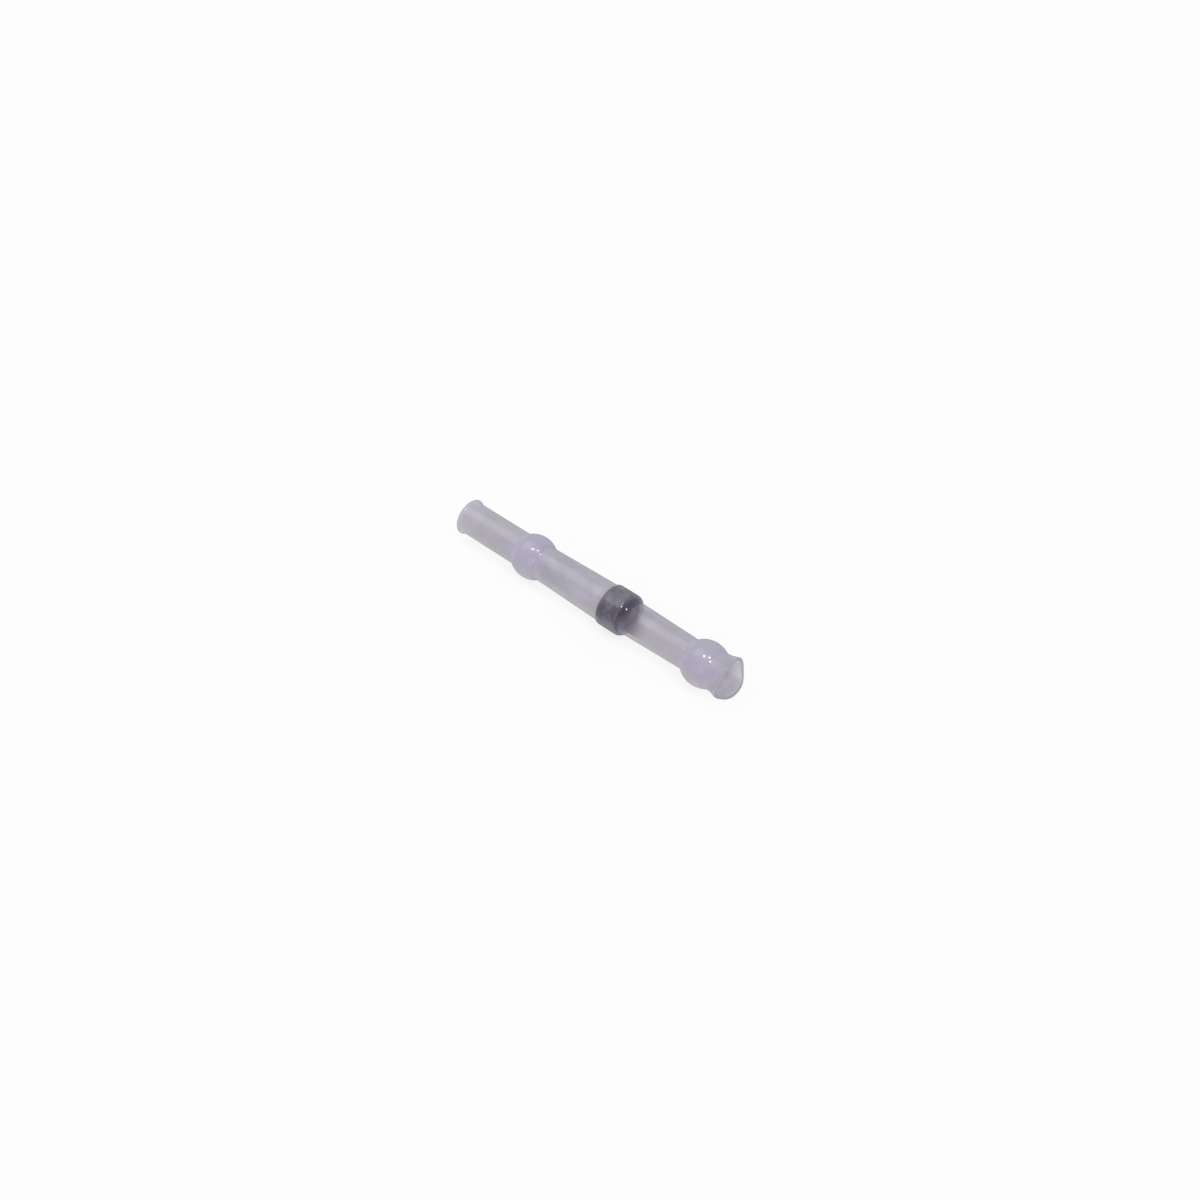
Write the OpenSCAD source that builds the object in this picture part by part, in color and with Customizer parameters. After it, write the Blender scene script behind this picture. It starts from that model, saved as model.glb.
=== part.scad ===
// Heat-shrink solder splice for thin wires: a clear sleeve, drawn down over a seal ring
// near each end and a solder ring between them. The sleeve's axis is X, Z is up, and the
// origin is the middle of the solder ring's bore. Sizes are in millimetres.

/* [Sleeve] */
// Overall length, which sets how long the tube on the left is
sleeve_l = 26; // [24:0.5:32]
// Wall thickness, the same all the way
wall = 0.25; // [0.15:0.01:0.35]
// Bore of the straight tube inside the left mouth
entry_bore = 2.04; // [1.8:0.02:2.2]
// Bore just right of the left seal ring
left_bore = 2.14; // [1.8:0.02:2.3]
// Bore where the sleeve meets the left side of the solder ring
left_throat_bore = 2.4; // [2:0.02:2.5]
// Bore where the sleeve meets the right side of the solder ring
right_throat_bore = 2.08; // [1.9:0.02:2.4]
// Bore just left of the right seal ring
right_bore = 1.86; // [1.76:0.02:2.2]
// Bore of the neck between the right seal ring and the right mouth
neck_bore = 2.34; // [2:0.02:2.5]
// Middle of the right seal ring to the right mouth
right_stub_l = 2.4; // [2.3:0.1:4]
// Hollow radius on the outside, where the wall leaves a ring
foot_r = 0.2; // [0.1:0.05:0.4]
// Depth of the flat spot underneath each bulge, where the sleeve lies
rest_flat = 0.05; // [0.02:0.01:0.08]

/* [Mouths] */
// Length of the flared lip at the left mouth
left_lip_l = 0.4; // [0.3:0.05:1.2]
// How far the left lip spreads beyond the tube
left_lip_rise = 0.17; // [0.05:0.01:0.25]
// Length of the flared lip at the right mouth
right_lip_l = 1.2; // [0.5:0.05:1.25]
// How far the right lip spreads beyond the neck
right_lip_rise = 0.19; // [0.05:0.01:0.25]

/* [Seal rings] */
// Outer diameter at the middle of the barrel
seal_od = 2.86; // [2.7:0.02:3.2]
// Bore, which is the thickest wire that goes in
seal_id = 1.7; // [1.4:0.05:1.8]
// Length
seal_l = 1.7; // [1.2:0.05:1.9]
// Radius of the barrel's crown, measured along the axis
seal_crown_r = 1.64; // [1.4:0.02:2]
// Rounding of the end edges
seal_edge_r = 0.08; // [0.03:0.01:0.12]
// Middle of the solder ring to the middle of the left seal ring
left_seal_reach = 8.56; // [7:0.02:10]
// Middle of the solder ring to the middle of the right seal ring
right_seal_reach = 8.1; // [6:0.1:10]

/* [Solder ring] */
// Outer diameter
solder_od = 2.66; // [2.56:0.02:2.9]
// Bore
solder_id = 1.8; // [1.7:0.05:2]
// Length
solder_l = 1.7; // [1.2:0.05:2.4]
// Rounding of its edges
solder_edge_r = 0.1; // [0.05:0.01:0.15]

/* [Fit] */
// Gap between the sleeve and the rings that it grips
grip_gap = 0.01; // [0.005:0.005:0.05]

/* [Hidden] */
$fn = 96;

left_seal_x = -left_seal_reach;
right_seal_x = right_seal_reach;
right_mouth_x = right_seal_x + right_stub_l;
left_mouth_x = right_mouth_x - sleeve_l;

// The sleeve's outside over the rings, which its inside hugs at grip_gap
cover = grip_gap + wall;
seal_cover_r = seal_od / 2 + cover;
crown_cover_r = seal_crown_r + cover;
band_cover_r = solder_od / 2 + cover;
edge_cover_r = solder_edge_r + cover;
band_half_l = solder_l / 2 - solder_edge_r;

// Widest angle that one chord of an arc spans, in degrees
arc_step = 7;
// Steepest flank of the drawn-down wall beside a ring, in degrees
flank_max = 80;

sleeve_colour = [0.70, 0.69, 0.74, 0.45];
seal_colour = [0.72, 0.70, 0.79, 0.8];
solder_colour = [0.42, 0.41, 0.45];

// Points along an arc in the [x, radius] plane, with both ends and the middle included
function arc(cx, cr, r, a0, a1) =
    let (n = 2 * ceil(abs(a1 - a0) / arc_step / 2))
    [for (i = [0:n]) let (a = a0 + (a1 - a0) * i / n) [cx + r * cos(a), cr + r * sin(a)]];

function reversed(points) = [for (i = [len(points) - 1:-1:0]) points[i]];

// The same points seen in a mirror that stands square to the axis at x = 0, then moved to x
function turned(points, x) = [for (p = reversed(points)) [x - p[0], p[1]]];

// Flank angle of a shoulder that climbs by rise through a hollow and a round
function flank(rise, hollow, round_r) =
    let (climb = (hollow + round_r) * (1 - cos(flank_max)))
    rise >= climb ? flank_max : acos(1 - rise / (hollow + round_r));

// Length along the axis from the foot of that shoulder to the middle of its round. The
// last term is the straight flank, which only a high shoulder has.
function reach(rise, hollow, round_r) =
    let (a = flank(rise, hollow, round_r),
         climb = (hollow + round_r) * (1 - cos(a)))
    (hollow + round_r) * sin(a) + max(0, rise - climb) / tan(a);

// Wall that climbs from radius low, through a hollow, to a round that tops out at
// [x, high]. The line lies inset inwards of the outside, square to the wall.
function shoulder(x, low, high, hollow, round_r, inset) =
    let (a = flank(high - low, hollow, round_r),
         foot_x = x - reach(high - low, hollow, round_r))
    concat(
        arc(foot_x, low + hollow, hollow + inset, -90, a - 90),
        arc(x, high - round_r, round_r - inset, 90 + a, 90)
    );

// The same wall, from its top at [x, high] down to radius low
function fall(x, high, low, hollow, round_r, inset) =
    turned(shoulder(0, low, high, hollow, round_r, inset), x);

// Flared lip, from the cut mouth in to where it joins the sleeve at radius low
function lip(mouth_x, low, l, rise, inset) =
    let (r = (l * l + rise * rise) / (2 * rise))
    arc(mouth_x + l, low + r, r + inset, -90 - asin(l / (r + inset)), -90);

// One line of the sleeve's section, from the left mouth to the right one. Inset is 0 on
// the outside and wall on the inside. Straight tapers join what each call gives.
function sleeve_line(inset) =
    let (entry_r = entry_bore / 2 + wall,
         left_r = left_bore / 2 + wall,
         left_throat_r = left_throat_bore / 2 + wall,
         right_throat_r = right_throat_bore / 2 + wall,
         right_r = right_bore / 2 + wall,
         neck_r = neck_bore / 2 + wall)
    concat(
        lip(left_mouth_x, entry_r, left_lip_l, left_lip_rise, inset),
        shoulder(left_seal_x, entry_r, seal_cover_r, foot_r, crown_cover_r, inset),
        fall(left_seal_x, seal_cover_r, left_r, foot_r, crown_cover_r, inset),
        shoulder(-band_half_l, left_throat_r, band_cover_r, foot_r, edge_cover_r, inset),
        fall(band_half_l, band_cover_r, right_throat_r, foot_r, edge_cover_r, inset),
        shoulder(right_seal_x, right_r, seal_cover_r, foot_r, crown_cover_r, inset),
        fall(right_seal_x, seal_cover_r, neck_r, foot_r, crown_cover_r, inset),
        turned(lip(0, neck_r, right_lip_l, right_lip_rise, inset), right_mouth_x)
    );

// Turns a section drawn in the [x, radius] plane about the X axis
module lathe(points) {
    rotate([0, 90, 0])
        rotate_extrude()
            polygon([for (p = points) [p[1], p[0]]]);
}

// The soft sleeve lies on its two bulges, and each has a small flat spot there
module shrink_sleeve() {
    color(sleeve_colour)
        difference() {
            lathe(concat(sleeve_line(0), reversed(sleeve_line(wall))));
            translate([left_mouth_x, -seal_cover_r, rest_flat - 2 * seal_cover_r])
                cube([sleeve_l, 2 * seal_cover_r, seal_cover_r]);
        }
}

// Hot-melt ring, barrel shaped on the outside, with a straight bore
module seal_ring(x) {
    crown_cr = seal_od / 2 - seal_crown_r;
    edge_x = seal_l / 2 - seal_edge_r;
    edge_cr = crown_cr + sqrt(pow(seal_crown_r - seal_edge_r, 2) - pow(edge_x, 2));
    crown_a = atan2(edge_cr - crown_cr, edge_x);
    bore_cr = seal_id / 2 + seal_edge_r;
    color(seal_colour)
        translate([x, 0, 0])
            lathe(concat(
                arc(edge_x, bore_cr, seal_edge_r, -90, 0),
                arc(edge_x, edge_cr, seal_edge_r, 0, crown_a),
                arc(0, crown_cr, seal_crown_r, crown_a, 180 - crown_a),
                arc(-edge_x, edge_cr, seal_edge_r, 180 - crown_a, 180),
                arc(-edge_x, bore_cr, seal_edge_r, 180, 270)
            ));
}

module left_seal_ring() {
    seal_ring(left_seal_x);
}

module right_seal_ring() {
    seal_ring(right_seal_x);
}

// Plain band of solder with rounded edges
module solder_ring() {
    outer_cr = solder_od / 2 - solder_edge_r;
    bore_cr = solder_id / 2 + solder_edge_r;
    color(solder_colour)
        lathe(concat(
            arc(band_half_l, bore_cr, solder_edge_r, -90, 0),
            arc(band_half_l, outer_cr, solder_edge_r, 0, 90),
            arc(-band_half_l, outer_cr, solder_edge_r, 90, 180),
            arc(-band_half_l, bore_cr, solder_edge_r, 180, 270)
        ));
}

shrink_sleeve();
left_seal_ring();
right_seal_ring();
solder_ring();
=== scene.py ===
"""Heat-shrink solder splice for thin wires, lying on its two bulges.

A clear, slightly milky sleeve is drawn down over a hot-melt ring near each end and a band of
solder near the middle. Both mouths flare. Its axis is X, Z is up, and lengths are in metres.
"""

import math

import bmesh
import bpy
from mathutils import Matrix, Vector


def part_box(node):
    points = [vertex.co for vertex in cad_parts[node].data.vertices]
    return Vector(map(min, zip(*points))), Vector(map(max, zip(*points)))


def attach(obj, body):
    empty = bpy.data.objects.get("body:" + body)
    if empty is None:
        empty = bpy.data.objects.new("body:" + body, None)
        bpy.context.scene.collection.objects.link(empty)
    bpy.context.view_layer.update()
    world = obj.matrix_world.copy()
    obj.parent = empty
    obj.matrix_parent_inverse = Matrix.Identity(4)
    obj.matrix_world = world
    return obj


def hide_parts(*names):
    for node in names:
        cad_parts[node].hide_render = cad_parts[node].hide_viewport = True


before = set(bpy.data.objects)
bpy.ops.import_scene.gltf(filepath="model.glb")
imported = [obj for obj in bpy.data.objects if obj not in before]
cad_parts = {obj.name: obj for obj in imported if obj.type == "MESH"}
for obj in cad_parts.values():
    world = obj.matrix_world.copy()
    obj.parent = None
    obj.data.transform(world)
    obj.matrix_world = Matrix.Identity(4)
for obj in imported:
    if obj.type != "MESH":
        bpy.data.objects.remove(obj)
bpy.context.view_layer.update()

MM = 0.001
QUARTER = math.pi / 2
WHITE = (1, 1, 1)

# Places and outer sizes, taken from the frame
sleeve_lo, sleeve_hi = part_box("shrink_sleeve")
left_seal_lo, left_seal_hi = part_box("left_seal_ring")
right_seal_lo, right_seal_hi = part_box("right_seal_ring")
solder_lo, solder_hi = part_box("solder_ring")

LEFT_MOUTH = sleeve_lo.x
RIGHT_MOUTH = sleeve_hi.x
LEFT_SEAL = (left_seal_lo.x + left_seal_hi.x) / 2
RIGHT_SEAL = (right_seal_lo.x + right_seal_hi.x) / 2
SEAL_R = left_seal_hi.z
SEAL_HALF_L = (left_seal_hi.x - left_seal_lo.x) / 2
SOLDER_R = solder_hi.z
SOLDER_HALF_L = (solder_hi.x - solder_lo.x) / 2
REST = sleeve_lo.z

# Sleeve: its wall, the bore at each stretch from left to right, the hollow where it leaves a
# ring, both lips, the rounding of the cut edges, and a shoulder's steepest slope
WALL = 0.25 * MM
ENTRY_R = 1.02 * MM
LEFT_R = 1.07 * MM
LEFT_THROAT_R = 1.2 * MM
RIGHT_THROAT_R = 1.04 * MM
RIGHT_R = 0.93 * MM
NECK_R = 1.17 * MM
FOOT_R = 0.2 * MM
LIP_L = 0.4 * MM
LIP_RISE = 0.17 * MM
WIDE_LIP_L = 1.2 * MM
WIDE_LIP_RISE = 0.19 * MM
CUT_EDGE_R = 0.05 * MM
STEEPEST = math.radians(80)

# Rings: bores, the rounding of crown and edges, and what the sleeve adds to their radius
SEAL_BORE_R = 0.85 * MM
SEAL_CROWN_R = 1.64 * MM
SEAL_EDGE_R = 0.08 * MM
SOLDER_BORE_R = 0.9 * MM
SOLDER_EDGE_R = 0.1 * MM
GRIP_GAP = 0.01 * MM
COVER = GRIP_GAP + WALL

# How fine the meshes are: along the section lines, and round the axis
ARC_STEP = math.radians(3.5)
CUT_EDGE_POINTS = 5
OUTSIDE_STEP = 0.18 * MM
INSIDE_STEP = 0.22 * MM
SEAL_STEP = 0.12 * MM
SOLDER_STEP = 0.08 * MM
SLEEVE_AROUND = 144
RING_AROUND = 96

# How far each mouth's rim is cut back, in mm, every 45 degrees round it, from the side that
# faces front and up
NARROW_RIM_CUT = [0.08, 0.07, -0.01, 0, 0, 0, 0, 0.07]
WIDE_RIM_CUT = [-0.02, 0.1, 0.38, -0.04, -0.07, 0.3, 0.3, 0.12]
RIM_START = math.radians(130.3)

# The wide mouth stands a little off the axis, towards the back and up
NECK_LEAN = Vector((0, 0.03, 0.026)) * MM
NECK_LEAN_FROM = RIGHT_MOUTH - 1.6 * MM
NECK_LEAN_L = 1.0 * MM

# Colours of the plastic: plain, over the rings, painted light and shade, and the solder showing
# through
PLASTIC_DEEP = (0.355, 0.338, 0.415)
PLASTIC_PALE = (0.435, 0.41, 0.51)
PLASTIC_WARM = (0.415, 0.395, 0.435)
# Painted light from the table, lighter and warmer towards the bottom
PAINTED_TABLE_LIGHT = (0.48, 0.455, 0.475)
OVER_WAX = (0.41, 0.38, 0.51)
# Painted light in the hollows on the left of the seal rings
LEFT_FOOT_PAINTED_LIGHT = (0.49, 0.46, 0.575)
# Painted violet shade of the dark solder, to the right of it
PAINTED_SOLDER_SHADE = (0.315, 0.28, 0.4)
# By the wide mouth: a paler lip, painted light higher up inside and painted shade near the table
MOUTH_PALE = (0.5, 0.48, 0.575)
MOUTH_PAINTED_SHADE = (0.265, 0.252, 0.288)
NARROW_CUT = (0.57, 0.54, 0.635)
# The wide mouth's cut end, with painted shade towards the table
CUT_PALE = (0.48, 0.455, 0.54)
CUT_PAINTED_SHADE = (0.4, 0.38, 0.45)
# The dark solder seen through the wall, with painted shade, and the solder's painted shadow in
# the bore
SOLDER_AND_SHADOW_DEEP = (0.055, 0.046, 0.08)
SOLDER_AND_SHADOW_PALE = (0.165, 0.15, 0.2)

# Colours of the hot-melt, the solder, and its bore and right end, fluxed and dried, with painted
# shade
WAX_DEEP = (0.44, 0.40, 0.57)
WAX_PALE = (0.50, 0.455, 0.63)
SOLDER_DEEP = (0.17, 0.165, 0.185)
SOLDER_PALE = (0.27, 0.262, 0.28)
BORE_FLUX_AND_SHADE_DEEP = (0.1, 0.082, 0.14)
BORE_FLUX_AND_SHADE_PALE = (0.17, 0.14, 0.22)
END_FLUX_AND_SHADE_DEEP = (0.03, 0.024, 0.052)
END_FLUX_AND_SHADE_PALE = (0.077, 0.063, 0.115)

# Fades along the axis by the solder: where its cover, its clear stretch, its painted violet
# shade, its painted shadow along the bottom of the bore and the view of its open face begin and
# end
BAND_BEGINS = (-SOLDER_HALF_L + 0.055 * MM, -SOLDER_HALF_L + 0.135 * MM)
BAND_ENDS = (SOLDER_HALF_L + 0.07 * MM, SOLDER_HALF_L + 0.13 * MM)
CLEAR_ENDS = (1.9 * MM, 3.8 * MM)
TINT_BEGINS = (SOLDER_HALF_L, SOLDER_HALF_L + 0.1 * MM)
TINT_ENDS = (1.3 * MM, 2.6 * MM)
SOLDER_SHADOW_BEGINS = (SOLDER_HALF_L - 0.02 * MM, SOLDER_HALF_L + 0.03 * MM)
SOLDER_SHADOW_ENDS = (1.7 * MM, 3.6 * MM)
OPEN_FACE_BEGINS = (SOLDER_HALF_L + 0.13 * MM, SOLDER_HALF_L + 0.3 * MM)
OPEN_FACE_ENDS = (SOLDER_HALF_L + 0.6 * MM, SOLDER_HALF_L + 0.9 * MM)
END_FLUX_AND_SHADE_BEGINS = (SOLDER_HALF_L - 0.12 * MM, SOLDER_HALF_L - 0.04 * MM)

# Fades along the axis by the mouths: where the plastic is drawn thin, and at the wide one
# where its inside shows, low down and higher up, and where its lip is paler
NARROW_MOUTH_ENDS = (LEFT_MOUTH, LEFT_MOUTH + 0.9 * MM)
WIDE_MOUTH_BEGINS = (RIGHT_MOUTH - 1.6 * MM, RIGHT_MOUTH)
WEAK_SHADOW_BEGINS = (RIGHT_MOUTH - 1.6 * MM, RIGHT_MOUTH - 0.8 * MM)
SHOWN_LOW_FROM = (RIGHT_MOUTH - 1.1 * MM, RIGHT_MOUTH - 0.4 * MM)
SHOWN_HIGH_FROM = (RIGHT_MOUTH - 2.0 * MM, RIGHT_MOUTH - 1.3 * MM)
PALE_LIP_BEGINS = (RIGHT_MOUTH - 0.8 * MM, RIGHT_MOUTH - 0.2 * MM)

# Fades along the axis by each seal ring, measured from its middle or from its foot, where
# the sleeve is back at its bore
SEAL_BEGINS = (-2.6 * MM, -0.6 * MM)
SEAL_ENDS = (0.6 * MM, 2.6 * MM)
LEFT_FOOT_BEGINS = (-0.08 * MM, 0.14 * MM)
LEFT_FOOT_ENDS = (0.2 * MM, 0.9 * MM)
RIGHT_FOOT_BEGINS = (-0.25 * MM, -0.14 * MM)
RIGHT_FOOT_ENDS = (0.0, 0.12 * MM)

# Fades downwards: the height where each begins above the axis, and its depth
OPEN_FACE_FLOOR = (0.95 * MM, 0.6 * MM)
# Top of the solder's painted shadow in the bore
SOLDER_SHADOW_LEVEL = (-0.55 * MM, 0.35 * MM)
MOUTH_SHADE = (-0.68 * MM, 0.4 * MM)
# Painted light from the table
PAINTED_TABLE_LIGHT_LEVEL = (0.6 * MM, 1.1 * MM)
# Painted shade along a belt over the solder, and painted light low down on it
SHADE_BELT_TOP = (1.35 * MM, 0.4 * MM)
SHADE_BELT_FOOT = (0.5 * MM, 0.5 * MM)
PAINTED_LOW_LIGHT = (0.2 * MM, 0.6 * MM)

# Haze of the wall, from 0 where it is clear to 1 where it hides what is behind it. A pair is
# for clouds from thin to thick, or for a wall that faces the eye and one seen edge on
MILKY_HAZE = (0.94, 0.98)
NARROW_MOUTH_HAZE = 0.87
WIDE_MOUTH_HAZE = 0.7
CLEAR_HAZE = (0.17, 0.85)
BAND_HAZE = (0.8, 1.0)
BORE_HAZE = 0.12
CLEAR_BORE_HAZE = 0.7
OPEN_FACE_SHARE = 0.45

# Share of the haze that blocks a lamp, and what is left of it by the wide mouth
SHADOW_SHARE = 0.3
THIN_SHADOW_SHARE = 0.05

# Small lamps, by the direction that they shine from
BULB_1 = Vector((0.007, -0.208, 0.978))
BULB_2 = Vector((0.328, -0.012, 0.945))
BULB_3 = Vector((0.59, -0.104, 0.801))

# Lamps: name, direction that it shines from, strength, spread in degrees, colour
LAMPS = [
    ("ceiling", (-0.53, -0.145, 0.83), 0.46, 45, (0.96, 0.96, 1)),
    ("front", (0.55, -0.83, 0.12), 0.4, 40, (1, 0.98, 0.93)),
    ("table", (0.1, -0.75, -0.65), 0.3, 40, (1, 0.97, 0.88)),
    ("bulb_1", BULB_1, 0.44, 7, WHITE),
    ("bulb_2", BULB_2, 0.34, 7, WHITE),
    ("bulb_3", BULB_3, 0.44, 7, WHITE),
]
ROOM_LIGHT = 0.42

# Small flats in the gloss: the place and radius of each, and the lamp that it catches
FLATS = [
    (Vector((-15.29, -0.612, 1.178)) * MM, 0.075 * MM, BULB_1),
    (Vector((-7.34, -0.516, 1.216)) * MM, 0.045 * MM, BULB_3),
    (Vector((0.955, -0.746, 1.331)) * MM, 0.044 * MM, BULB_3),
    (Vector((1.27, -0.56, 1.161)) * MM, 0.063 * MM, BULB_3),
    (Vector((9.085, -0.636, 1.275)) * MM, 0.064 * MM, BULB_3),
]

# Floor
FLOOR_HALF_L = 0.8
FLOOR_GAP = 0.01 * MM
FLOOR_GLOW = 0.8

# Camera
CAMERA_AZIMUTH = 44.23
CAMERA_ELEVATION = 40.18
CAMERA_DISTANCE = 0.12
CAMERA_LENS = 50.74
CAMERA_SENSOR = 36
AIM = Vector((-1.397 * MM, 0, 0))
AIM_ASIDE = -0.323 * MM
AIM_UP = 0.0727 * MM
CAMERA_RIGHT = Matrix.Rotation(math.radians(CAMERA_AZIMUTH), 3, "Z") @ Vector((1, 0, 0))
CAMERA_UP = Matrix.Rotation(math.radians(-CAMERA_ELEVATION), 3, CAMERA_RIGHT) @ Vector((0, 0, 1))
CAMERA_BACK = CAMERA_RIGHT.cross(CAMERA_UP)
CAMERA_PLACE = AIM + CAMERA_BACK * CAMERA_DISTANCE + CAMERA_RIGHT * AIM_ASIDE + CAMERA_UP * AIM_UP


# Section lines

def arc(cx, cr, r, a0, a1):
    """Points along an arc in the [x, radius] plane, with both ends and the middle included."""
    count = 2 * math.ceil(abs(a1 - a0) / ARC_STEP / 2)
    angles = [a0 + (a1 - a0) * i / count for i in range(count + 1)]
    return [(cx + r * math.cos(a), cr + r * math.sin(a)) for a in angles]


def turned(points, x):
    """The same points mirrored along the axis, then moved to x."""
    return [(x - px, pr) for px, pr in reversed(points)]


def flank(rise, round_r):
    """Steepest angle of a shoulder, and its length along the axis from foot to top."""
    full = FOOT_R + round_r
    climb = full * (1 - math.cos(STEEPEST))
    steep = STEEPEST if rise >= climb else math.acos(1 - rise / full)
    reach = full * math.sin(steep)
    reach += max(0.0, rise - full * (1 - math.cos(steep))) / math.tan(steep)
    return steep, reach


def shoulder(x, low, high, round_r, inset):
    """Wall that climbs from radius low, through a hollow, to a round that tops out at x."""
    steep, reach = flank(high - low, round_r)
    hollow = arc(x - reach, low + FOOT_R, FOOT_R + inset, -QUARTER, steep - QUARTER)
    crown = arc(x, high - round_r, round_r - inset, QUARTER + steep, QUARTER)
    return hollow + crown


def fall(x, high, low, round_r, inset):
    """The same wall, from its top at x down to radius low."""
    return turned(shoulder(0, low, high, round_r, inset), x)


def lip(mouth_x, low, length, rise, inset):
    """Flared lip, from the cut mouth in to where it joins the sleeve at radius low."""
    r = (length * length + rise * rise) / (2 * rise)
    start = -QUARTER - math.asin(length / (r + inset))
    return arc(mouth_x + length, low + r, r + inset, start, -QUARTER)


def sleeve_line(inset):
    """The sleeve's section line from the left mouth to the right one."""
    seal_cover = SEAL_R + COVER
    crown_cover = SEAL_CROWN_R + COVER
    band_cover = SOLDER_R + COVER
    edge_cover = SOLDER_EDGE_R + COVER
    band = SOLDER_HALF_L - SOLDER_EDGE_R
    line = lip(LEFT_MOUTH, ENTRY_R + WALL, LIP_L, LIP_RISE, inset)
    line += shoulder(LEFT_SEAL, ENTRY_R + WALL, seal_cover, crown_cover, inset)
    line += fall(LEFT_SEAL, seal_cover, LEFT_R + WALL, crown_cover, inset)[1:]
    line += shoulder(-band, LEFT_THROAT_R + WALL, band_cover, edge_cover, inset)
    line += fall(band, band_cover, RIGHT_THROAT_R + WALL, edge_cover, inset)
    line += shoulder(RIGHT_SEAL, RIGHT_R + WALL, seal_cover, crown_cover, inset)
    line += fall(RIGHT_SEAL, seal_cover, NECK_R + WALL, crown_cover, inset)[1:]
    line += turned(lip(0, NECK_R + WALL, WIDE_LIP_L, WIDE_LIP_RISE, inset), RIGHT_MOUTH)
    return line


def even(line, step):
    """The line with points added, so that none of its stretches is longer than step."""
    points = [line[0]]
    for (x0, r0), (x1, r1) in zip(line, line[1:]):
        count = max(1, math.ceil(math.hypot(x1 - x0, r1 - r0) / step))
        for i in range(1, count + 1):
            points.append((x0 + (x1 - x0) * i / count, r0 + (r1 - r0) * i / count))
    return points


def even_loop(section, step):
    """The same for a closed section."""
    return even(section + section[:1], step)[:-1]


def cut_edge(before, corner, after):
    """A rounded corner of the section, where the wall is cut."""
    here = Vector(corner)
    back = (Vector(before) - here).normalized()
    on = (Vector(after) - here).normalized()
    points = []
    for i in range(CUT_EDGE_POINTS):
        t = i / (CUT_EDGE_POINTS - 1)
        bend = (1 - t) * (1 - t) * back * CUT_EDGE_R + t * t * on * CUT_EDGE_R
        points.append(tuple(here + bend))
    return points


def cut_end(first, second):
    """Both edges of the cut from the end of one line of the wall to the start of the other."""
    near = cut_edge(first[-2], first[-1], second[0])
    far = cut_edge(first[-1], second[0], second[1])
    return near + far


def sleeve_section():
    """The closed section: outside, cut right mouth, inside, cut left mouth."""
    outside = even(sleeve_line(0), OUTSIDE_STEP)
    inside = even(sleeve_line(WALL), INSIDE_STEP)[::-1]
    return outside[1:-1] + cut_end(outside, inside) + inside[1:-1] + cut_end(inside, outside)


def seal_section(x):
    """Hot-melt ring: barrel shaped outside, straight bore."""
    crown_cr = SEAL_R - SEAL_CROWN_R
    edge_x = SEAL_HALF_L - SEAL_EDGE_R
    edge_cr = crown_cr + math.sqrt((SEAL_CROWN_R - SEAL_EDGE_R) ** 2 - edge_x ** 2)
    lean = math.atan2(edge_cr - crown_cr, edge_x)
    bore_cr = SEAL_BORE_R + SEAL_EDGE_R
    section = arc(x + edge_x, bore_cr, SEAL_EDGE_R, -QUARTER, 0)
    section += arc(x + edge_x, edge_cr, SEAL_EDGE_R, 0, lean)
    section += arc(x, crown_cr, SEAL_CROWN_R, lean, math.pi - lean)[1:]
    section += arc(x - edge_x, edge_cr, SEAL_EDGE_R, math.pi - lean, math.pi)[1:]
    section += arc(x - edge_x, bore_cr, SEAL_EDGE_R, math.pi, 3 * QUARTER)
    return even_loop(section, SEAL_STEP)


def solder_section():
    """Band of solder with rounded edges."""
    edge_x = SOLDER_HALF_L - SOLDER_EDGE_R
    outer_cr = SOLDER_R - SOLDER_EDGE_R
    bore_cr = SOLDER_BORE_R + SOLDER_EDGE_R
    section = arc(edge_x, bore_cr, SOLDER_EDGE_R, -QUARTER, 0)
    section += arc(edge_x, outer_cr, SOLDER_EDGE_R, 0, QUARTER)
    section += arc(-edge_x, outer_cr, SOLDER_EDGE_R, QUARTER, 2 * QUARTER)
    section += arc(-edge_x, bore_cr, SOLDER_EDGE_R, 2 * QUARTER, 3 * QUARTER)
    return even_loop(section, SOLDER_STEP)


# Forms

def new_object(name, data):
    """An object in the scene that shows a mesh, a lamp or a camera."""
    obj = bpy.data.objects.new(name, data)
    bpy.context.scene.collection.objects.link(obj)
    return obj


def round_the_axis(name, section, around, place, finishes):
    """Turns a closed section about X. place gives each point from x, radius and angle."""
    bm = bmesh.new()
    rows = []
    for step in range(around):
        angle = 2 * math.pi * step / around
        rows.append([bm.verts.new(place(x, r, angle)) for x, r in section])
    for here, after in zip(rows, rows[1:] + rows[:1]):
        for i in range(len(section)):
            j = (i + 1) % len(section)
            bm.faces.new((here[i], after[i], after[j], here[j]))
    bmesh.ops.recalc_face_normals(bm, faces=bm.faces)
    for face in bm.faces:
        face.smooth = True
    mesh = bpy.data.meshes.new(name)
    bm.to_mesh(mesh)
    bm.free()
    for finish in finishes:
        mesh.materials.append(finish)
    return new_object(name, mesh)


def on_the_ring(x, r, angle):
    """A true body of revolution."""
    return Vector((x, r * math.cos(angle), r * math.sin(angle)))


def ring_of_values(values, angle):
    """Smooth closed curve through values that are evenly spaced round the axis."""
    count = len(values)
    at = (angle / (2 * math.pi)) % 1 * count
    i = int(at)
    t = at - i
    a, b, c, d = (values[(i + k - 1) % count] for k in range(4))
    return b + 0.5 * t * (c - a + t * (2 * a - 5 * b + 4 * c - d + t * (3 * (b - c) + d - a)))


def smooth(t):
    """Eases from 0 to 1 as t goes from 0 to 1, and stays there beyond."""
    t = min(1.0, max(0.0, t))
    return t * t * (3 - 2 * t)


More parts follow.
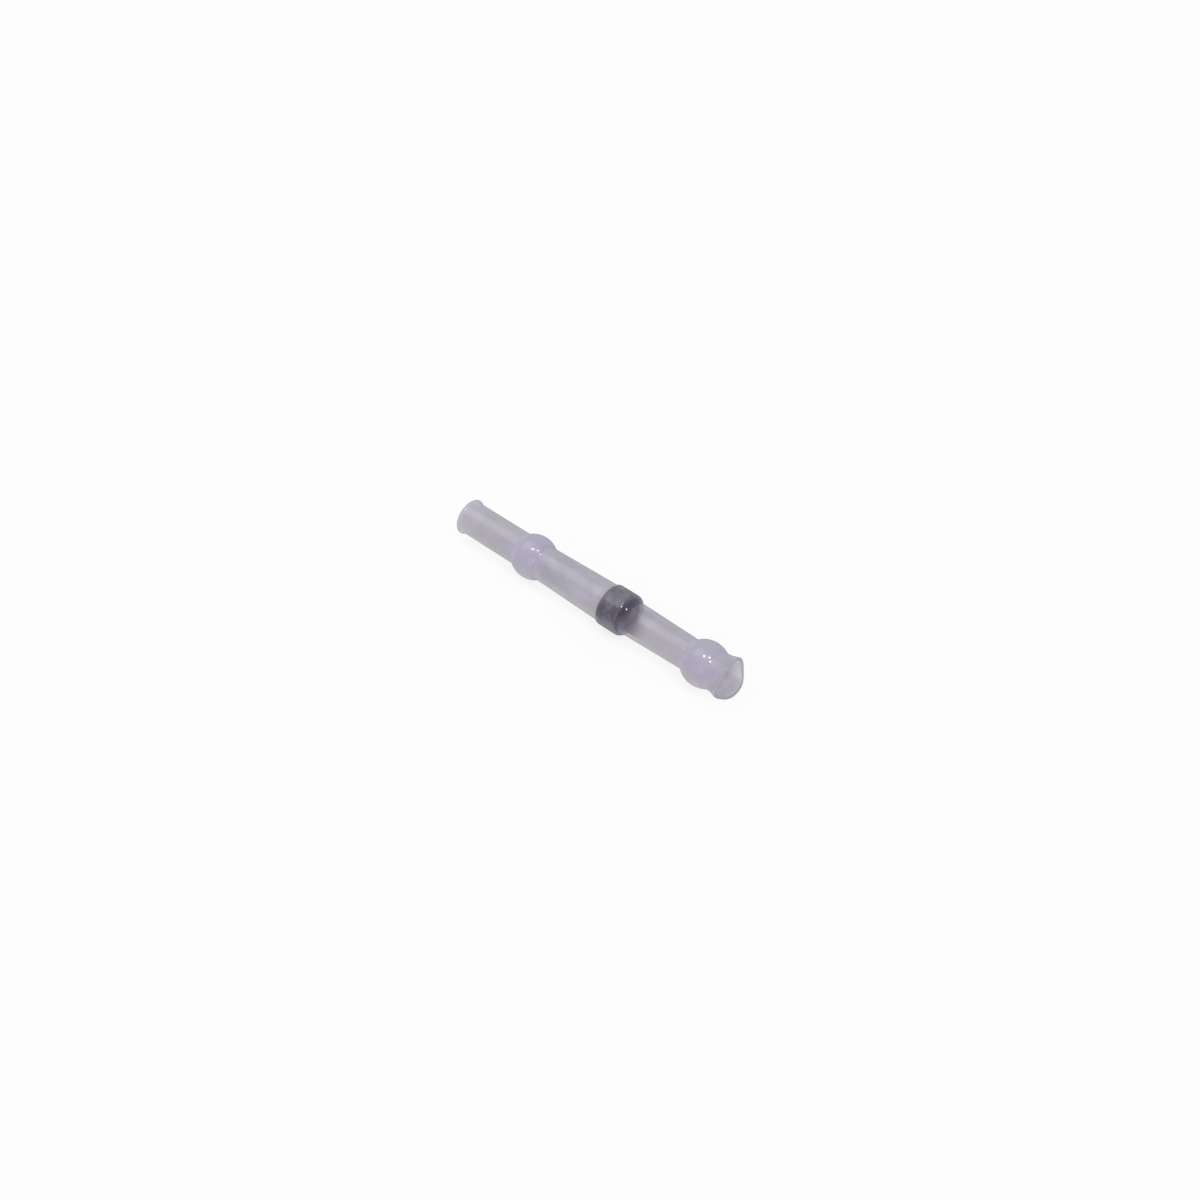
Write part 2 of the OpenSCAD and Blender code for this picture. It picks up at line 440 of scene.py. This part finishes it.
def on_the_sleeve(x, r, angle):
    """The drawn-down sleeve, with its hand-cut rims and the flat spots underneath."""
    by_wide_rim = smooth((x - (RIGHT_MOUTH - WIDE_LIP_L)) / WIDE_LIP_L)
    by_narrow_rim = smooth((LEFT_MOUTH + LIP_L - x) / LIP_L)
    x -= ring_of_values(WIDE_RIM_CUT, angle - RIM_START) * MM * by_wide_rim
    x += ring_of_values(NARROW_RIM_CUT, angle - RIM_START) * MM * by_narrow_rim
    point = on_the_ring(x, r, angle) + NECK_LEAN * smooth((x - NECK_LEAN_FROM) / NECK_LEAN_L)
    point.z = max(point.z, REST)
    return point


# Nodes

def add(tree, kind, **settings):
    """A new node with these settings."""
    node = tree.nodes.new(kind)
    for key, value in settings.items():
        setattr(node, key, value)
    return node


def feed(tree, socket, value):
    """Gives a socket a number, a colour or what another node puts out."""
    if isinstance(value, (int, float)):
        socket.default_value = value
    elif isinstance(value, tuple):
        socket.default_value = (*value, 1)
    else:
        tree.links.new(value, socket)


def maths(tree, operation, first, second):
    """One sum on two values. Each is a number or what another node puts out."""
    node = add(tree, "ShaderNodeMath", operation=operation)
    feed(tree, node.inputs[0], first)
    feed(tree, node.inputs[1], second)
    return node.outputs[0]


def times(tree, first, second):
    """The two values multiplied."""
    return maths(tree, "MULTIPLY", first, second)


def opposite(tree, mask):
    """0 where the mask is 1, and 1 where it is 0."""
    return maths(tree, "SUBTRACT", 1.0, mask)


def ranged(tree, value, start, stop, low=0.0, high=1.0, kind="SMOOTHSTEP"):
    """Goes from low to high as the value goes from start to stop, and stays there beyond."""
    node = add(tree, "ShaderNodeMapRange", interpolation_type=kind)
    feed(tree, node.inputs["Value"], value)
    feed(tree, node.inputs["From Min"], start)
    feed(tree, node.inputs["From Max"], stop)
    feed(tree, node.inputs["To Min"], low)
    feed(tree, node.inputs["To Max"], high)
    return node.outputs["Result"]


def between(tree, mask, low, high):
    """Goes from low to high in a straight line as the mask goes from 0 to 1."""
    return ranged(tree, mask, 0.0, 1.0, low, high, "LINEAR")


def mixed(tree, mask, first, second):
    """The first value where the mask is 0, the second where it is 1."""
    node = add(tree, "ShaderNodeMix", data_type="FLOAT")
    tree.links.new(mask, node.inputs[0])
    feed(tree, node.inputs[2], first)
    feed(tree, node.inputs[3], second)
    return node.outputs[0]


def tint(tree, mask, first, second):
    """The first colour where the mask is 0, the second where it is 1."""
    node = add(tree, "ShaderNodeMix", data_type="RGBA")
    tree.links.new(mask, node.inputs[0])
    feed(tree, node.inputs[6], first)
    feed(tree, node.inputs[7], second)
    return node.outputs[2]


def bump_of(tree, height, distance, strength):
    """The normal of a surface that has this relief."""
    bump = add(tree, "ShaderNodeBump")
    bump.inputs["Distance"].default_value = distance
    bump.inputs["Strength"].default_value = strength
    tree.links.new(height, bump.inputs["Height"])
    return bump.outputs["Normal"]


def bumped(tree, shader, height, distance, strength):
    """Gives the shader this relief."""
    tree.links.new(bump_of(tree, height, distance, strength), shader.inputs["Normal"])


def new_material(name):
    """A new material, its nodes and its shader."""
    material = bpy.data.materials.new(name)
    material.use_nodes = True
    tree = material.node_tree
    return material, tree, tree.nodes["Principled BSDF"]


# Shared effects

def new_group(name, values):
    """An empty effect with named values that puts out a mask, and its two end nodes."""
    group = bpy.data.node_groups.new(name, "ShaderNodeTree")
    sockets = group.interface
    for key, value in values.items():
        socket = sockets.new_socket(name=key, in_out="INPUT", socket_type="NodeSocketFloat")
        socket.default_value = value
    sockets.new_socket(name="Mask", in_out="OUTPUT", socket_type="NodeSocketFloat")
    return group, group.nodes.new("NodeGroupInput"), group.nodes.new("NodeGroupOutput")


def clouds_in(tree, scale, stretch):
    """Soft clouds, drawn out along the axis: a mask from 0 to 1."""
    where = add(tree, "ShaderNodeTexCoord")
    split = add(tree, "ShaderNodeSeparateXYZ")
    join = add(tree, "ShaderNodeCombineXYZ")
    tree.links.new(where.outputs["Object"], split.inputs[0])
    tree.links.new(maths(tree, "DIVIDE", split.outputs["X"], stretch), join.inputs["X"])
    tree.links.new(split.outputs["Y"], join.inputs["Y"])
    tree.links.new(split.outputs["Z"], join.inputs["Z"])
    noise = add(tree, "ShaderNodeTexNoise")
    noise.inputs["Detail"].default_value = 4.0
    noise.inputs["Roughness"].default_value = 0.55
    tree.links.new(join.outputs[0], noise.inputs["Vector"])
    feed(tree, noise.inputs["Scale"], scale)
    return ranged(tree, noise.outputs["Fac"], 0.3, 0.7)


def cloud_group():
    """The clouds, for any material."""
    group, given, result = new_group("milky_clouds", {"Scale": 900.0, "Stretch": 1.0})
    mask = clouds_in(group, given.outputs["Scale"], given.outputs["Stretch"])
    group.links.new(mask, result.inputs["Mask"])
    return group


def speck_group():
    """Sparse specks, such as dust and tiny bubbles: a mask from 0 to 1."""
    group, given, result = new_group("fine_specks", {"Scale": 2500.0, "Size": 0.12})
    where = add(group, "ShaderNodeTexCoord")
    cells = add(group, "ShaderNodeTexVoronoi", feature="F1")
    group.links.new(where.outputs["Object"], cells.inputs["Vector"])
    group.links.new(given.outputs["Scale"], cells.inputs["Scale"])
    mask = ranged(group, cells.outputs["Distance"], 0.0, given.outputs["Size"], 1.0, 0.0)
    group.links.new(mask, result.inputs["Mask"])
    return group


CLOUDS = cloud_group()
SPECKS = speck_group()


def use(tree, group, **values):
    """Places a shared effect in a material, with the material's own values."""
    node = add(tree, "ShaderNodeGroup", node_tree=group)
    for key, value in values.items():
        node.inputs[key].default_value = value
    return node.outputs[0]


# Places on the sleeve

def place_on(tree, axis):
    """Where a point lies on one of the object's own axes."""
    where = add(tree, "ShaderNodeTexCoord")
    split = add(tree, "ShaderNodeSeparateXYZ")
    tree.links.new(where.outputs["Object"], split.inputs[0])
    return split.outputs[axis]


def along(tree, start, stop):
    """Mask that climbs from 0 to 1 between two places along the axis."""
    return ranged(tree, place_on(tree, "X"), start, stop)


def downward(tree, start, depth):
    """Mask that climbs from 0 at the height start to 1 at depth below it."""
    return ranged(tree, place_on(tree, "Z"), start - depth, start, 1.0, 0.0)


def stretch(tree, begins, ends, x=0.0):
    """1 along a stretch of the axis, with a fade at each end. Both are measured from x."""
    climb = along(tree, x + begins[0], x + begins[1])
    drop = along(tree, x + ends[0], x + ends[1])
    return maths(tree, "SUBTRACT", climb, drop)


def clearer(tree):
    """1 where the sleeve is clear, over the solder and some way to the right of it."""
    return stretch(tree, BAND_BEGINS, CLEAR_ENDS)


def over_the_band(tree):
    """1 where the sleeve hugs the solder."""
    return stretch(tree, BAND_BEGINS, BAND_ENDS)


def beside_the_band(tree):
    """1 from the solder's right end to some way to the right of it."""
    return stretch(tree, TINT_BEGINS, TINT_ENDS)


def over_the_open_face(tree):
    """1 high on the shoulder through which the solder's right face shows."""
    here = stretch(tree, OPEN_FACE_BEGINS, OPEN_FACE_ENDS)
    return times(tree, here, opposite(tree, downward(tree, *OPEN_FACE_FLOOR)))


def painted_solder_shadow(tree):
    """1 where a painted shadow of the solder lies on the bottom of the bore, to the right of it.
    """
    return times(tree, stretch(tree, SOLDER_SHADOW_BEGINS, SOLDER_SHADOW_ENDS), downward(tree, *SOLDER_SHADOW_LEVEL))


def over_the_seals(tree):
    """1 where the sleeve hugs the hot-melt rings."""
    left = stretch(tree, SEAL_BEGINS, SEAL_ENDS, LEFT_SEAL)
    right = stretch(tree, SEAL_BEGINS, SEAL_ENDS, RIGHT_SEAL)
    return maths(tree, "ADD", left, right)


def foot_reach(bore_r):
    """How far from the middle of a seal ring the sleeve is back at this bore."""
    return flank(SEAL_R + COVER - bore_r - WALL, SEAL_CROWN_R + COVER)[1]


def left_feet(tree):
    """1 in the hollow on the left of each seal ring."""
    left_foot = LEFT_SEAL - foot_reach(ENTRY_R)
    right_foot = RIGHT_SEAL - foot_reach(RIGHT_R)
    left = stretch(tree, LEFT_FOOT_BEGINS, LEFT_FOOT_ENDS, left_foot)
    right = stretch(tree, LEFT_FOOT_BEGINS, LEFT_FOOT_ENDS, right_foot)
    return maths(tree, "MAXIMUM", left, right)


def right_feet(tree):
    """1 in the hollow on the right of each seal ring."""
    left_foot = LEFT_SEAL + foot_reach(LEFT_R)
    right_foot = RIGHT_SEAL + foot_reach(NECK_R)
    left = stretch(tree, RIGHT_FOOT_BEGINS, RIGHT_FOOT_ENDS, left_foot)
    right = stretch(tree, RIGHT_FOOT_BEGINS, RIGHT_FOOT_ENDS, right_foot)
    return maths(tree, "MAXIMUM", left, right)


def spot_at(tree, place, radius):
    """1 within a small spot."""
    where = add(tree, "ShaderNodeTexCoord")
    away = add(tree, "ShaderNodeVectorMath", operation="DISTANCE")
    away.inputs[1].default_value = place
    tree.links.new(where.outputs["Object"], away.inputs[0])
    return ranged(tree, away.outputs["Value"], radius * 0.8, radius * 1.2, 1.0, 0.0)


def seen_from_behind(tree):
    """1 where a face is seen from behind."""
    return add(tree, "ShaderNodeNewGeometry").outputs["Backfacing"]


def seen_edge_on(tree):
    """0 where the surface faces the eye, 1 where it is seen edge on."""
    rim = add(tree, "ShaderNodeLayerWeight")
    rim.inputs["Blend"].default_value = 0.5
    return rim.outputs["Facing"]


# Finishes

def lets_light_in(tree, alpha):
    """Milky plastic passes on most of the light that it scatters, so its shadow is weak."""
    path = add(tree, "ShaderNodeLightPath")
    light = maths(tree, "MAXIMUM", path.outputs["Is Shadow Ray"], path.outputs["Is Diffuse Ray"])
    share = between(tree, along(tree, *WEAK_SHADOW_BEGINS), SHADOW_SHARE, THIN_SHADOW_SHARE)
    return times(tree, alpha, mixed(tree, light, 1.0, share))


def patchy(tree, clouds):
    """The plastic's colour: clouds, warmer patches, violet over the rings, painted light and
    shade.
    """
    patches = use(tree, CLOUDS, Scale=330.0, Stretch=1.5)
    plain = tint(tree, clouds, PLASTIC_DEEP, PLASTIC_PALE)
    plain = tint(tree, times(tree, patches, 0.7), plain, PLASTIC_WARM)
    plain = tint(tree, times(tree, over_the_seals(tree), 0.8), plain, OVER_WAX)
    # Painted light in the hollows on the left of the seal rings
    plain = tint(tree, left_feet(tree), plain, LEFT_FOOT_PAINTED_LIGHT)
    # Painted light from the table: lighter and warmer towards the bottom
    plain = tint(tree, times(tree, downward(tree, *PAINTED_TABLE_LIGHT_LEVEL), 0.5), plain, PAINTED_TABLE_LIGHT)
    # Painted violet shade of the dark solder, to the right of it
    return tint(tree, beside_the_band(tree), plain, PAINTED_SOLDER_SHADE)


def mouth_coloured(tree, plain, behind):
    """The same by the wide mouth: paler lip; inside, painted light up high and painted shade near
    the table.
    """
    low = downward(tree, *MOUTH_SHADE)
    high = times(tree, along(tree, *SHOWN_HIGH_FROM), opposite(tree, low))
    within = times(tree, maths(tree, "MAXIMUM", along(tree, *SHOWN_LOW_FROM), high), behind)
    # Inside the wide mouth: painted light higher up, painted shade near the table
    plain = tint(tree, within, plain, tint(tree, low, MOUTH_PALE, MOUTH_PAINTED_SHADE))
    pale_lip = times(tree, along(tree, *PALE_LIP_BEGINS), 0.4)
    return tint(tree, times(tree, pale_lip, opposite(tree, behind)), plain, MOUTH_PALE)


def solder_and_shade_coloured(tree):
    """Dark solder seen through: blots, a belt of painted shade above the middle, painted light
    low down.
    """
    blots = use(tree, CLOUDS, Scale=1500.0, Stretch=1.0)
    # Painted shade along a belt above the middle, and a painted floor reflection low down
    belt = maths(tree, "SUBTRACT", downward(tree, *SHADE_BELT_TOP), downward(tree, *SHADE_BELT_FOOT))
    shade_and_blots = maths(tree, "SUBTRACT", blots, times(tree, belt, 0.5))
    shade_and_blots = maths(tree, "ADD", shade_and_blots, times(tree, downward(tree, *PAINTED_LOW_LIGHT), 0.6))
    return tint(tree, shade_and_blots, SOLDER_AND_SHADOW_DEEP, SOLDER_AND_SHADOW_PALE)


def wall_haze(tree, clouds, clear, band, edge_on):
    """How much of what is behind the wall it hides."""
    milky = between(tree, clouds, *MILKY_HAZE)
    milky = mixed(tree, along(tree, *WIDE_MOUTH_BEGINS), milky, WIDE_MOUTH_HAZE)
    milky = mixed(tree, along(tree, *NARROW_MOUTH_ENDS), NARROW_MOUTH_HAZE, milky)
    glassy = between(tree, edge_on, *CLEAR_HAZE)
    share = between(tree, over_the_open_face(tree), 1.0, OPEN_FACE_SHARE)
    wall = mixed(tree, clear, milky, times(tree, glassy, share))
    return mixed(tree, band, wall, between(tree, edge_on, *BAND_HAZE))


def flattened(tree, normal, spot, facing):
    """The normal, turned to one direction within a spot."""
    world = add(tree, "ShaderNodeVectorTransform", vector_type="NORMAL")
    world.convert_from = "OBJECT"
    world.convert_to = "WORLD"
    world.inputs[0].default_value = facing
    mix = add(tree, "ShaderNodeMix", data_type="VECTOR")
    tree.links.new(spot, mix.inputs[0])
    tree.links.new(normal, mix.inputs[4])
    tree.links.new(world.outputs[0], mix.inputs[5])
    return mix.outputs[1]


def shrink_plastic():
    """Milky, lavender-grey polyolefin with drawn lines along it, clearer by the solder."""
    material, tree, shader = new_material("shrink_plastic")
    clouds = use(tree, CLOUDS, Scale=1300.0, Stretch=2.5)
    lines = use(tree, CLOUDS, Scale=5200.0, Stretch=60.0)
    specks = use(tree, SPECKS, Scale=1800.0, Size=0.07)
    behind = seen_from_behind(tree)
    edge_on = seen_edge_on(tree)
    clear = clearer(tree)
    band = over_the_band(tree)
    plain = mouth_coloured(tree, patchy(tree, clouds), behind)
    wall = wall_haze(tree, clouds, clear, band, edge_on)

    # The gloss is only on the outside, and fades towards the edge
    polish = ranged(tree, edge_on, 0.45, 0.85, 1.0, 0.0, "LINEAR")
    polish = times(tree, polish, opposite(tree, behind))
    glossy = times(tree, polish, between(tree, right_feet(tree), 1.0, 0.4))
    shader.inputs["IOR"].default_value = 1.5
    tree.links.new(times(tree, polish, 0.35), shader.inputs["Specular IOR Level"])
    tree.links.new(between(tree, specks, 0.42, 0.55), shader.inputs["Roughness"])
    shader.inputs["Coat Roughness"].default_value = 0.15

    # Relief: drawn lines in the plastic, and slow waves in its gloss, away from the seal rings
    bumped(tree, shader, lines, 0.004 * MM, 0.4)
    waves = times(tree, clouds_in(tree, 1100.0, 1.6), opposite(tree, over_the_seals(tree)))
    surface = bump_of(tree, waves, 0.012 * MM, 1.0)

    # Each flat turns the gloss halfway between its lamp and the camera's place
    for place, radius, lamp_direction in FLATS:
        spot = spot_at(tree, place, radius)
        facing = (lamp_direction.normalized() + (CAMERA_PLACE - place).normalized()).normalized()
        surface = flattened(tree, surface, spot, facing)
        glossy = maths(tree, "MAXIMUM", glossy, spot)
        wall = maths(tree, "MAXIMUM", wall, spot)
        band = maths(tree, "MAXIMUM", band, times(tree, spot, clear))

    # Over the band, the dark solder seen through, with its painted shade and light
    tree.links.new(tint(tree, band, plain, solder_and_shade_coloured(tree)), shader.inputs["Base Color"])
    tree.links.new(surface, shader.inputs["Coat Normal"])
    tree.links.new(glossy, shader.inputs["Coat Weight"])
    tree.links.new(lets_light_in(tree, wall), shader.inputs["Alpha"])
    return material


def inside_plastic():
    """The bore's own face. From inside the wall it adds nothing to the wall's haze."""
    material, tree, shader = new_material("shrink_plastic_inside")
    clouds = use(tree, CLOUDS, Scale=700.0, Stretch=3.0)
    # Painted shadow of the solder on the bottom of the bore, to the right of it; it thickens the
    # haze too
    solder_shadow = painted_solder_shadow(tree)
    plain = tint(tree, clouds, PLASTIC_DEEP, PLASTIC_PALE)
    shadowed = tint(tree, clouds, SOLDER_AND_SHADOW_DEEP, SOLDER_AND_SHADOW_PALE)
    tree.links.new(tint(tree, solder_shadow, plain, shadowed), shader.inputs["Base Color"])
    shader.inputs["IOR"].default_value = 1.5
    shader.inputs["Specular IOR Level"].default_value = 0.0
    shader.inputs["Roughness"].default_value = 0.5
    haze = between(tree, clearer(tree), BORE_HAZE, CLEAR_BORE_HAZE)
    haze = maths(tree, "MAXIMUM", haze, solder_shadow)
    wall = times(tree, haze, opposite(tree, seen_from_behind(tree)))
    tree.links.new(lets_light_in(tree, wall), shader.inputs["Alpha"])
    return material


def cut_plastic():
    """The cut ends of the wall, which can't be seen from inside it."""
    material, tree, shader = new_material("shrink_plastic_cut")
    # Painted shade on the wide mouth's cut end, darker towards the table
    wide = tint(tree, downward(tree, *MOUTH_SHADE), CUT_PALE, CUT_PAINTED_SHADE)
    plain = tint(tree, along(tree, -MM, MM), NARROW_CUT, wide)
    tree.links.new(plain, shader.inputs["Base Color"])
    shader.inputs["Roughness"].default_value = 0.6
    shader.inputs["Specular IOR Level"].default_value = 0.0
    bumped(tree, shader, use(tree, CLOUDS, Scale=4000.0, Stretch=1.0), 0.01 * MM, 0.4)
    front = opposite(tree, seen_from_behind(tree))
    tree.links.new(lets_light_in(tree, front), shader.inputs["Alpha"])
    return material


def seal_wax():
    """Milky hot-melt."""
    material, tree, shader = new_material("seal_wax")
    clouds = use(tree, CLOUDS, Scale=1100.0, Stretch=1.0)
    tree.links.new(tint(tree, clouds, WAX_DEEP, WAX_PALE), shader.inputs["Base Color"])
    tree.links.new(between(tree, clouds, 0.42, 0.55), shader.inputs["Roughness"])
    tree.links.new(lets_light_in(tree, 1.0), shader.inputs["Alpha"])
    bumped(tree, shader, clouds, 0.01 * MM, 0.4)
    return material


def solder_metal():
    """Dull solder, mottled, with a faint purple cast."""
    material, tree, shader = new_material("solder_metal")
    clouds = use(tree, CLOUDS, Scale=1900.0, Stretch=1.0)
    specks = use(tree, SPECKS, Scale=3200.0, Size=0.3)
    tree.links.new(tint(tree, clouds, SOLDER_DEEP, SOLDER_PALE), shader.inputs["Base Color"])
    shader.inputs["Metallic"].default_value = 0.6
    tree.links.new(between(tree, clouds, 0.42, 0.6), shader.inputs["Roughness"])
    bumped(tree, shader, maths(tree, "ADD", clouds, specks), 0.01 * MM, 0.5)
    return material


def fluxed_and_shaded_metal():
    """The band's bore, ends and edges, fluxed and with painted shade, both darkest on the right
    end.
    """
    material, tree, shader = new_material("fluxed_and_shaded_metal")
    clouds = use(tree, CLOUDS, Scale=2600.0, Stretch=1.0)
    bore = tint(tree, clouds, BORE_FLUX_AND_SHADE_DEEP, BORE_FLUX_AND_SHADE_PALE)
    end = tint(tree, clouds, END_FLUX_AND_SHADE_DEEP, END_FLUX_AND_SHADE_PALE)
    # The right end is darkest: fluxed, and with the most painted shade
    plain = tint(tree, along(tree, *END_FLUX_AND_SHADE_BEGINS), bore, end)
    tree.links.new(plain, shader.inputs["Base Color"])
    tree.links.new(between(tree, clouds, 0.35, 0.6), shader.inputs["Roughness"])
    shader.inputs["Specular IOR Level"].default_value = 0.25
    bumped(tree, shader, clouds, 0.015 * MM, 0.5)
    return material


def seen_directly(tree):
    """1 for the rays of the camera, and of what gloss and glass show."""
    path = add(tree, "ShaderNodeLightPath")
    first = maths(tree, "MAXIMUM", path.outputs["Is Camera Ray"], path.outputs["Is Glossy Ray"])
    return maths(tree, "MAXIMUM", first, path.outputs["Is Transmission Ray"])


def backdrop(tree, usual, shown, output):
    """Gives the output its usual shader, and another one where it is seen directly."""
    choose = add(tree, "ShaderNodeMixShader")
    tree.links.new(seen_directly(tree), choose.inputs[0])
    tree.links.new(usual.outputs[0], choose.inputs[1])
    tree.links.new(shown.outputs[0], choose.inputs[2])
    tree.links.new(choose.outputs[0], tree.nodes[output].inputs["Surface"])


def floor_paper():
    """Plain white floor that keeps a soft shadow."""
    material, tree, shader = new_material("floor_paper")
    shader.inputs["Base Color"].default_value = (0.97, 0.97, 0.97, 1)
    shader.inputs["Roughness"].default_value = 1.0
    shader.inputs["Specular IOR Level"].default_value = 0.0
    white = add(tree, "ShaderNodeBsdfDiffuse")
    white.inputs["Color"].default_value = (*WHITE, 1)
    glow = add(tree, "ShaderNodeEmission")
    glow.inputs["Color"].default_value = (*WHITE, 1)
    seen = add(tree, "ShaderNodeMixShader")
    seen.inputs[0].default_value = FLOOR_GLOW
    tree.links.new(white.outputs[0], seen.inputs[1])
    tree.links.new(glow.outputs[0], seen.inputs[2])
    backdrop(tree, shader, seen, "Material Output")
    return material


# Pieces

def finish_piece(obj, node):
    """Puts a piece in the place of its CAD node: hangs it from the root body and hides the node.
    """
    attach(obj, "root")
    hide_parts(node)


def make_sleeve():
    """The sleeve, with a finish each for its outside, its bore and its cut ends."""
    finishes = [shrink_plastic(), inside_plastic(), cut_plastic()]
    obj = round_the_axis("sleeve", sleeve_section(), SLEEVE_AROUND, on_the_sleeve, finishes)
    for face in obj.data.polygons:
        centre = face.center
        outward = face.normal.y * centre.y + face.normal.z * centre.z
        between_lips = LEFT_MOUTH + LIP_L < centre.x < RIGHT_MOUTH - WIDE_LIP_L
        face.material_index = 1 if outward < 0 else 0
        if abs(face.normal.x) > 0.5 and not between_lips:
            face.material_index = 2
    finish_piece(obj, "shrink_sleeve")


def make_seal(name, node, x, wax):
    """One of the two hot-melt rings."""
    obj = round_the_axis(name, seal_section(x), RING_AROUND, on_the_ring, [wax])
    finish_piece(obj, node)


def make_solder():
    """The band of solder, bare round its barrel, fluxed and with painted shade elsewhere."""
    finishes = [solder_metal(), fluxed_and_shaded_metal()]
    obj = round_the_axis("solder_band", solder_section(), RING_AROUND, on_the_ring, finishes)
    for face in obj.data.polygons:
        centre = face.center
        barrel = math.hypot(centre.y, centre.z) > SOLDER_R - SOLDER_EDGE_R * 0.1
        face.material_index = 0 if barrel else 1
    finish_piece(obj, "solder_ring")


# Studio

def make_floor():
    """The paper under the sleeve. It casts no shadow, so that the low lamp gets through."""
    mesh = bpy.data.meshes.new("floor")
    half = FLOOR_HALF_L
    corners = [(-half, -half, 0), (half, -half, 0), (half, half, 0), (-half, half, 0)]
    mesh.from_pydata(corners, [], [(0, 1, 2, 3)])
    mesh.materials.append(floor_paper())
    obj = new_object("floor", mesh)
    obj.location.z = REST - FLOOR_GAP
    obj.visible_shadow = False


def make_lamp(name, towards, strength, spread, colour):
    """A distant lamp that shines from the given direction."""
    data = bpy.data.lights.new(name, "SUN")
    data.energy = strength
    data.color = colour
    data.angle = math.radians(spread)
    obj = new_object(name, data)
    obj.rotation_mode = "QUATERNION"
    obj.rotation_quaternion = Vector(towards).to_track_quat("Z", "Y")


def make_room():
    """Even light from all round, and a white backdrop."""
    world = bpy.data.worlds.new("studio")
    bpy.context.scene.world = world
    world.use_nodes = True
    tree = world.node_tree
    light = tree.nodes["Background"]
    light.inputs["Color"].default_value = (*WHITE, 1)
    light.inputs["Strength"].default_value = ROOM_LIGHT
    white = add(tree, "ShaderNodeBackground")
    white.inputs["Color"].default_value = (*WHITE, 1)
    white.inputs["Strength"].default_value = 1.0
    backdrop(tree, light, white, "World Output")


def make_camera():
    """The camera, where the photograph was taken from."""
    data = bpy.data.cameras.new("camera")
    data.lens = CAMERA_LENS
    data.sensor_width = CAMERA_SENSOR
    data.clip_start = 0.01
    data.clip_end = 5
    obj = new_object("camera", data)
    turn = Matrix((CAMERA_RIGHT, CAMERA_UP, CAMERA_BACK)).transposed()
    obj.matrix_world = Matrix.Translation(CAMERA_PLACE) @ turn.to_4x4()
    bpy.context.scene.camera = obj


make_sleeve()
wax = seal_wax()
make_seal("left_seal", "left_seal_ring", LEFT_SEAL, wax)
make_seal("right_seal", "right_seal_ring", RIGHT_SEAL, wax)
make_solder()
make_floor()
for settings in LAMPS:
    make_lamp(*settings)
make_room()
make_camera()
bpy.context.scene.view_settings.view_transform = "Standard"
